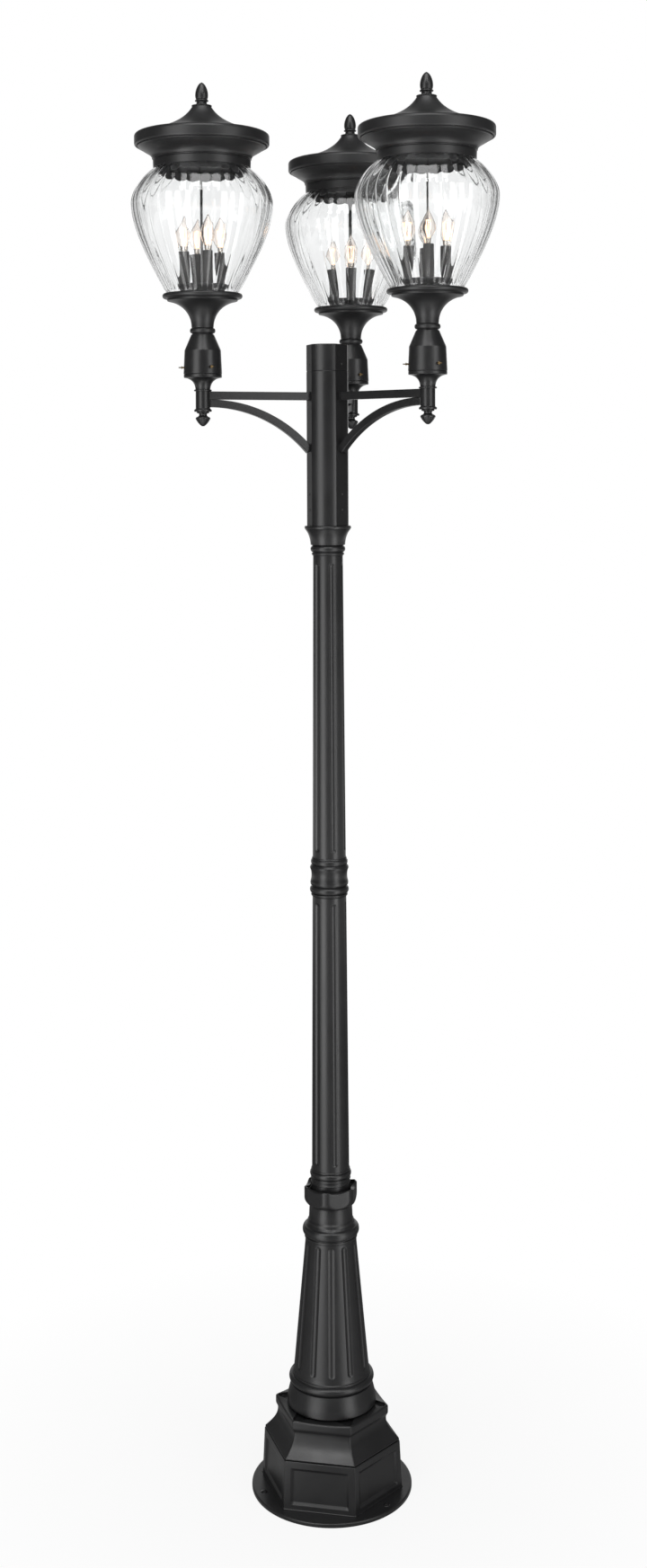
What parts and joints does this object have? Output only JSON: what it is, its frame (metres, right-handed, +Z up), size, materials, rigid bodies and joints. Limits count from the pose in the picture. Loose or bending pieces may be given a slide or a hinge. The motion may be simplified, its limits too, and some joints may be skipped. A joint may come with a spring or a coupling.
{
  "type": "outdoor post light",
  "caption": "Fluted garden lamp post on a hexagonal pedestal, with arms that carry urn lanterns whose caps lift off and whose heads turn on their tenons.",
  "frame": {"origin": "centre of the anchor bolt circle, on the underside of the base plate", "axes": "+Z up along the post, +X along the first arm; the other arms point 120 and 240 degrees from +X about +Z"},
  "size_m": [0.748, 0.8152, 3.1507],
  "materials": {
    "black_powder_coat": "satin, fine texture",
    "clear_glass": "clear, pressed ribs",
    "candle_black": "matt",
    "socket_ceramic": "matt",
    "bulb_glass": "clear, lit",
    "brass_screws": "polished",
    "screw_steel": "satin",
    "rod_steel": "satin",
    "wire_insulation": "matt"
  },
  "bodies": {
    "post": {"base_plate": "black_powder_coat", "pedestal_box": "black_powder_coat", "pedestal_cornice": "black_powder_coat", "base_column": "black_powder_coat", "crown_collar": "black_powder_coat", "lower_shaft": "black_powder_coat", "shaft_coupling": "black_powder_coat", "upper_shaft": "black_powder_coat", "capital": "black_powder_coat", "hub": "black_powder_coat", "hub_cap": "black_powder_coat", "hub_screws": "screw_steel", "hub_cap_screws": "screw_steel", "supply_wires": "wire_insulation", "arm_bar_1": "black_powder_coat", "arm_brace_1": "black_powder_coat", "arm_tube_1": "black_powder_coat", "drop_finial_1": "black_powder_coat", "arm_bar_2": "black_powder_coat", "arm_brace_2": "black_powder_coat", "arm_tube_2": "black_powder_coat", "drop_finial_2": "black_powder_coat", "arm_bar_3": "black_powder_coat", "arm_brace_3": "black_powder_coat", "arm_tube_3": "black_powder_coat", "drop_finial_3": "black_powder_coat"},
    "lantern_1": {"fitter_1": "black_powder_coat", "set_screws_1": "brass_screws", "gallery_1": "black_powder_coat", "rod_1": "rod_steel", "lamp_pan_1": "black_powder_coat", "candle_sleeves_1": "candle_black", "sockets_1": "socket_ceramic", "bulbs_1": "bulb_glass", "glass_1": "clear_glass"},
    "lid_1": {"cap_1": "black_powder_coat"},
    "knob_1": {"finial_1": "black_powder_coat"},
    "lantern_2": {"fitter_2": "black_powder_coat", "set_screws_2": "brass_screws", "gallery_2": "black_powder_coat", "rod_2": "rod_steel", "lamp_pan_2": "black_powder_coat", "candle_sleeves_2": "candle_black", "sockets_2": "socket_ceramic", "bulbs_2": "bulb_glass", "glass_2": "clear_glass"},
    "lid_2": {"cap_2": "black_powder_coat"},
    "knob_2": {"finial_2": "black_powder_coat"},
    "lantern_3": {"fitter_3": "black_powder_coat", "set_screws_3": "brass_screws", "gallery_3": "black_powder_coat", "rod_3": "rod_steel", "lamp_pan_3": "black_powder_coat", "candle_sleeves_3": "candle_black", "sockets_3": "socket_ceramic", "bulbs_3": "bulb_glass", "glass_3": "clear_glass"},
    "lid_3": {"cap_3": "black_powder_coat"},
    "knob_3": {"finial_3": "black_powder_coat"}
  },
  "joints": [
    {"name": "lantern_1_swivel", "type": "hinge", "parent": "post", "child": "lantern_1", "pos_m": [0.29, 0, 2.505], "axis": [0, 0, 1], "range_deg": [-180, 180]},
    {"name": "cap_1_lift", "type": "slide", "parent": "lantern_1", "child": "lid_1", "axis": [0, 0, 1], "range_m": [0, 0.16]},
    {"name": "finial_1_turn", "type": "hinge", "parent": "lid_1", "child": "knob_1", "pos_m": [0.29, 0, 3.1023], "axis": [0, 0, 1], "continuous": true},
    {"name": "lantern_2_swivel", "type": "hinge", "parent": "post", "child": "lantern_2", "pos_m": [-0.145, 0.25115, 2.505], "axis": [0, 0, 1], "range_deg": [-180, 180]},
    {"name": "cap_2_lift", "type": "slide", "parent": "lantern_2", "child": "lid_2", "axis": [0, 0, 1], "range_m": [0, 0.16]},
    {"name": "finial_2_turn", "type": "hinge", "parent": "lid_2", "child": "knob_2", "pos_m": [-0.145, 0.25115, 3.1023], "axis": [0, 0, 1], "continuous": true},
    {"name": "lantern_3_swivel", "type": "hinge", "parent": "post", "child": "lantern_3", "pos_m": [-0.145, -0.25115, 2.505], "axis": [0, 0, 1], "range_deg": [-180, 180]},
    {"name": "cap_3_lift", "type": "slide", "parent": "lantern_3", "child": "lid_3", "axis": [0, 0, 1], "range_m": [0, 0.16]},
    {"name": "finial_3_turn", "type": "hinge", "parent": "lid_3", "child": "knob_3", "pos_m": [-0.145, -0.25115, 3.1023], "axis": [0, 0, 1], "continuous": true}
  ]
}
